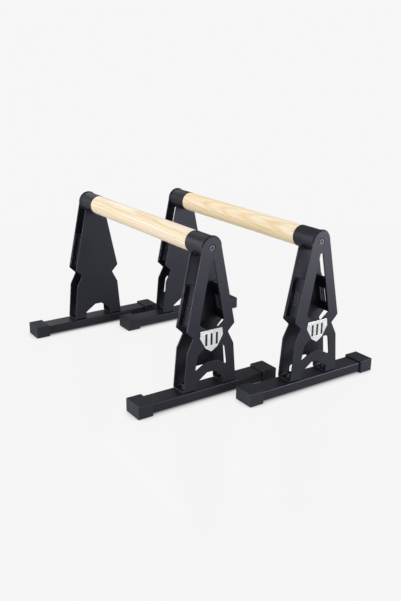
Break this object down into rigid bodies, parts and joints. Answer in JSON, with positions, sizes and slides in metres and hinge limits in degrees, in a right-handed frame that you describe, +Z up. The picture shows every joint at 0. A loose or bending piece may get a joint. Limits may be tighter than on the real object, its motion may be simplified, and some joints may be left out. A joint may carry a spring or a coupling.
{
  "type": "parallel bars",
  "caption": "Pair of low parallel bars: each unit a round wooden bar on two windowed steel uprights with flat tube bases and end caps; free-standing.",
  "frame": {"origin": "on the floor, midway between the two units", "axes": "+X along the bars towards the front posts, +Y from the left unit to the right unit, +Z up"},
  "size_m": [0.5916, 0.523, 0.3212],
  "materials": {
    "badge_steel": "brushed",
    "black_steel": "black oxide",
    "cap_rubber": "fine matt moulded surface",
    "grip_wood": "sanded pale ash with clear matt lacquer",
    "insert_brass": "as turned",
    "powder_coat": "fine-textured matt powder coat",
    "zinc_steel": "dull zinc plate"
  },
  "bodies": {
    "left_unit": {"left_front_badge": "badge_steel", "left_front_base_tube": "powder_coat", "left_front_end_screw": "black_steel", "left_front_foot_bolts": "black_steel", "left_front_foot_washers": "black_steel", "left_front_inboard_cap": "cap_rubber", "left_front_inboard_channel": "powder_coat", "left_front_insert": "insert_brass", "left_front_outboard_cap": "cap_rubber", "left_front_outboard_channel": "powder_coat", "left_front_rivet_nuts": "zinc_steel", "left_front_sleeve": "powder_coat", "left_front_upright": "powder_coat", "left_grip_bar": "grip_wood", "left_rear_badge": "badge_steel", "left_rear_base_tube": "powder_coat", "left_rear_end_screw": "black_steel", "left_rear_foot_bolts": "black_steel", "left_rear_foot_washers": "black_steel", "left_rear_inboard_cap": "cap_rubber", "left_rear_inboard_channel": "powder_coat", "left_rear_insert": "insert_brass", "left_rear_outboard_cap": "cap_rubber", "left_rear_outboard_channel": "powder_coat", "left_rear_rivet_nuts": "zinc_steel", "left_rear_sleeve": "powder_coat", "left_rear_upright": "powder_coat"},
    "right_unit": {"right_front_badge": "badge_steel", "right_front_base_tube": "powder_coat", "right_front_end_screw": "black_steel", "right_front_foot_bolts": "black_steel", "right_front_foot_washers": "black_steel", "right_front_inboard_cap": "cap_rubber", "right_front_inboard_channel": "powder_coat", "right_front_insert": "insert_brass", "right_front_outboard_cap": "cap_rubber", "right_front_outboard_channel": "powder_coat", "right_front_rivet_nuts": "zinc_steel", "right_front_sleeve": "powder_coat", "right_front_upright": "powder_coat", "right_grip_bar": "grip_wood", "right_rear_badge": "badge_steel", "right_rear_base_tube": "powder_coat", "right_rear_end_screw": "black_steel", "right_rear_foot_bolts": "black_steel", "right_rear_foot_washers": "black_steel", "right_rear_inboard_cap": "cap_rubber", "right_rear_inboard_channel": "powder_coat", "right_rear_insert": "insert_brass", "right_rear_outboard_cap": "cap_rubber", "right_rear_outboard_channel": "powder_coat", "right_rear_rivet_nuts": "zinc_steel", "right_rear_sleeve": "powder_coat", "right_rear_upright": "powder_coat"}
  },
  "joints": [
    {"name": "unit_spacing", "type": "slide", "parent": "left_unit", "child": "right_unit", "axis": [0, 1, 0], "range_m": [-0.12, 0.4]}
  ]
}
